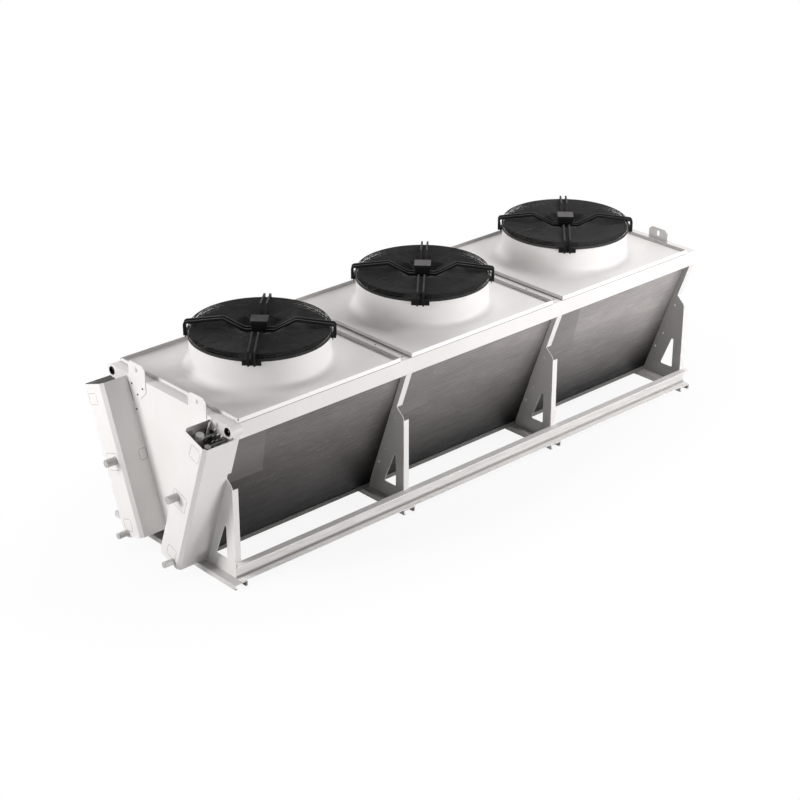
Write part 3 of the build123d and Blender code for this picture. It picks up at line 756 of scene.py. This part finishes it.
dark_screws = Shape()
for side in side_names:
    for y, z in end_screws[side]:
        dark_screws.screw((end_face, side * y - 0.008, z), (-1, 0, 0), **small_screw)
    y, z = end_plate_screw
    dark_screws.screw((end_face + 0.005, side * y, z), (-1, 0, 0), **small_screw)
    for place in frame_places[1:bays]:
        for step, y in beam_screws:
            dark_screws.screw((place + step, side * y, deck), (0, 0, 1), **deck_screw)
dark_screws.make("deck_screws", dark_screw)


# Seams
seam_lift = 0.0006
seam_half = half_plate - 0.002
slit_place = first_frame - 0.0365
slit_ends = (0.043, 0.173)
corner_place = -1.9978

seams = Shape()
for side in side_names:
    edge = side * (half_width - 0.0002)
    for x in fan_places:
        seams.strip((x - seam_half, edge, deck), (x + seam_half, edge, deck),
                    (0, 0, 1), 0.0030, (0, side, 0), seam_lift)
    start, end = [cover_point(side, slit_place, -0.0002, down) for down in slit_ends]
    seams.strip(start, end, (1, 0, 0), 0.0060, (0, -side * lean_cos, lean_sin), seam_lift)
    corner = side * (half_width + 0.0006)
    seams.strip((corner_place, corner, rim_top - 0.012), (corner_place, corner, rim_top - 0.001),
                (1, side, 0), 0.0070, (-1, side, 0), 0.0012)
for x in fan_places:
    face = x - half_plate - 0.0002
    seams.strip((face, -0.612, deck + 0.0018), (face, 0.612, deck + 0.0018),
                (0, 0, 1), 0.0036, (-1, 0, 0), seam_lift)
seams.make("seam_lines", seam, smooth=False)


# Outlines of knock-outs on the covers
def rectangle(left, top, right, foot):
    return [(left, top), (right, top), (right, foot), (left, foot)]


knock_out_tops = {-1: 0.040, 1: 0.064}
middle_knock_out = rectangle(0.030, 0.469, 0.165, 0.586)
low_knock_out = rectangle(0.085, 0.922, 0.172, 1.005)
inner_knock_out = rectangle(first_frame - 0.096, 0.488, first_frame - 0.040, 0.561)

outlines = Shape()
for side in side_names:
    top_knock_out = rectangle(0.098, knock_out_tops[side], 0.190, 0.139)
    for area in (top_knock_out, middle_knock_out, low_knock_out):
        corners = [cover_point(side, cover_front, across, down) for across, down in area]
        outlines.outline(corners, (1, 0, 0), (-1, 0, 0), 0.006)
    corners = [cover_point(side, x, 0.0, down) for x, down in inner_knock_out]
    inward = (0, -side * lean_cos, lean_sin)
    outlines.outline(corners, inward, inward, 0.005)
outlines.make("knock_out_lines", slit, smooth=False)


# Bends, angles and vents in the covers
bend_rows = 19
bend_row_pitch = 0.052
bend_lines = ((0.066, 0.0), (0.101, 0.014), (0.136, 0.0))
first_bend = 0.026
bend_reach = 0.030
bend_radius = 0.013
bend_steps = 8
bend_tube_radius = 0.0046
angle_sheet = 0.0012
angle_ends = (0.010, 0.950)
vent_radius = 0.0056
vent_place = -2.120
vent_tops = {-1: -0.030, 1: 0.006}


def bend_path(side, across, down):
    """Out of the coil's end sheet, through half a turn and back in."""
    middle = first_frame - bend_reach
    path = [cover_point(side, first_frame, across, down), cover_point(side, middle, across, down)]
    for step in range(bend_steps + 1):
        turn = pi * step / bend_steps
        path.append(cover_point(side, middle - bend_radius * sin(turn), across,
                                down + bend_radius - bend_radius * cos(turn)))
    path.append(cover_point(side, first_frame, across, down + 2 * bend_radius))
    return path


for side, label in side_names.items():
    bends = Shape()
    for row in range(bend_rows):
        for across, shift in bend_lines:
            down = first_bend + shift + bend_row_pitch * row
            bends.tube(bend_path(side, across, down), bend_tube_radius, caps=False)
    bends.make(f"return_bends_{label}", tube_metal)

    angle = Shape()
    outward = (0, side * lean_cos, -lean_sin)
    for x, across, width_way, width, lift_way in (
            (first_frame - 0.0185, 0.002, (1, 0, 0), 0.0350, outward),
            (first_frame - 0.0015, 0.021, outward, 0.0380, (-1, 0, 0))):
        start, end = [cover_point(side, x, across, down) for down in angle_ends]
        angle.strip(start, end, width_way, width, lift_way, angle_sheet)
    angle.make(f"corner_angle_{label}", galvanised)

    vent = Shape()
    vent.tube([cover_point(side, vent_place, 0.0478, vent_tops[side]),
               cover_point(side, vent_place, 0.0426, 0.116),
               cover_point(side, vent_place - 0.003, 0.0430, 0.123)], vent_radius, 12)
    vent.make(f"vent_tube_{label}", white)


# Rings and screws of the plugs
plug_place = (-2.079, 0.613, 1.095)
plug_ring_radius = 0.0245
plug_ring_half = 0.0040
plug_depth = 0.022

for side, label in side_names.items():
    x, y, z = plug_place
    centre = Vector((x, side * y, z))
    ring = Shape()
    ring.tube([centre + Vector((0, plug_ring_radius * cos(turn), plug_ring_radius * sin(turn)))
               for turn in turns_of(40)], plug_ring_half, 10, closed=True)
    ring.make(f"plug_ring_{label}", rubber)
    pin = Shape()
    pin.screw(centre + Vector((plug_depth, 0, 0)), (-1, 0, 0), height=0.010, flange=0.020)
    pin.make(f"plug_screw_{label}", zinc)


# Floor and background
def white_rays(tree):
    """1 for rays that come from the camera, a gloss or glass, else 0."""
    rays = tree.nodes.new("ShaderNodeLightPath").outputs
    either = tree.nodes.new("ShaderNodeMath")
    shiny = tree.nodes.new("ShaderNodeMath")
    either.operation = "MAXIMUM"
    shiny.operation = "MAXIMUM"
    tree.links.new(rays["Is Glossy Ray"], shiny.inputs[0])
    tree.links.new(rays["Is Transmission Ray"], shiny.inputs[1])
    tree.links.new(rays["Is Camera Ray"], either.inputs[0])
    tree.links.new(shiny.outputs[0], either.inputs[1])
    return either.outputs[0]


def show(tree, factor, first, second, output):
    """Sends a mix of two shaders to an output."""
    mixer = tree.nodes.new("ShaderNodeMixShader")
    for socket, source in zip(mixer.inputs, (factor, first, second)):
        tree.links.new(source, socket)
    tree.links.new(mixer.outputs[0], tree.nodes[output].inputs["Surface"])


def floor_finish():
    """Pale floor that shows white, a little less so under the machine, where the shadow is."""
    finish = Finish("pale_floor")
    finish.colour((0.86, 0.86, 0.86, 1.0))
    finish.rough(0.9)
    finish.shine(0.0)
    glow = finish.add("ShaderNodeEmission")
    glow.inputs["Color"].default_value = (1.0, 1.0, 1.0, 1.0)
    glow.inputs["Strength"].default_value = 1.0
    x, y = finish.axes()[:2]
    away = finish.distance(finish.over(x, 2.9), finish.over(y, 1.35))
    shown = finish.times(white_rays(finish.tree), finish.ramp(away, 0.7, 1.25, 0.90, 1.0))
    show(finish.tree, shown, finish.shader.outputs[0], glow.outputs[0], "Material Output")
    return finish


floor_half = 30.0
floor_mesh = bpy.data.meshes.new("floor")
floor_mesh.from_pydata([(-floor_half, -floor_half, 0), (floor_half, -floor_half, 0),
                        (floor_half, floor_half, 0), (-floor_half, floor_half, 0)], [], [(0, 1, 2, 3)])
floor_mesh.materials.append(floor_finish().material)
floor = bpy.data.objects.new("floor", floor_mesh)
bpy.context.scene.collection.objects.link(floor)

world = bpy.data.worlds.new("studio")
bpy.context.scene.world = world
world.use_nodes = True
sky = world.node_tree
background = sky.nodes["Background"]
background.inputs["Color"].default_value = (1.0, 0.985, 0.985, 1.0)
background.inputs["Strength"].default_value = 0.05
white_back = sky.nodes.new("ShaderNodeBackground")
white_back.inputs["Color"].default_value = (1.0, 1.0, 1.0, 1.0)
white_back.inputs["Strength"].default_value = 1.0
show(sky, white_rays(sky), background.outputs[0], white_back.outputs[0], "World Output")


# Lamps
def lamp(name, place, target, size, power, height=None):
    """A soft rectangular lamp that looks at a point."""
    data = bpy.data.lights.new(name, "AREA")
    data.shape = "RECTANGLE"
    data.size = size
    data.size_y = height or size
    data.energy = power
    data.color = (1.0, 0.982, 0.981)
    light = bpy.data.objects.new(name, data)
    light.location = place
    light.rotation_euler = (Vector(target) - Vector(place)).to_track_quat("-Z", "Y").to_euler()
    bpy.context.scene.collection.objects.link(light)


lamp("side_lamp", (2.5, -9.0, 0.9), (0.0, 0.0, 0.7), 4.5, 512.0, height=1.7)
lamp("end_lamp", (-9.5, 3.2, 3.0), (-2.2, 0.0, 0.7), 3.0, 506.0)
lamp("end_top_lamp", (-8.0, 2.0, 6.5), (-1.0, 0.0, 1.0), 4.0, 184.0)
lamp("far_top_lamp", (3.8, 2.0, 6.0), (1.2, 0.0, 1.1), 4.0, 153.0)
lamp("over_lamp", (2.2, -2.6, 4.6), (1.3, -0.4, 0.6), 2.0, 112.0)
lamp("left_lamp", (2.0, 9.0, 5.0), (0.0, 0.0, 0.9), 5.0, 132.0)

# Camera
camera_data = bpy.data.cameras.new("camera")
camera_data.lens = 85.17
camera_data.sensor_width = 36.0
camera_data.clip_end = 200.0
camera = bpy.data.objects.new("camera", camera_data)
camera.location = (-8.284, -8.945, 6.259)
camera.rotation_euler = (radians(64.427), 0.0, radians(-42.503))
bpy.context.scene.collection.objects.link(camera)
bpy.context.scene.camera = camera
bpy.context.scene.view_settings.view_transform = "Standard"
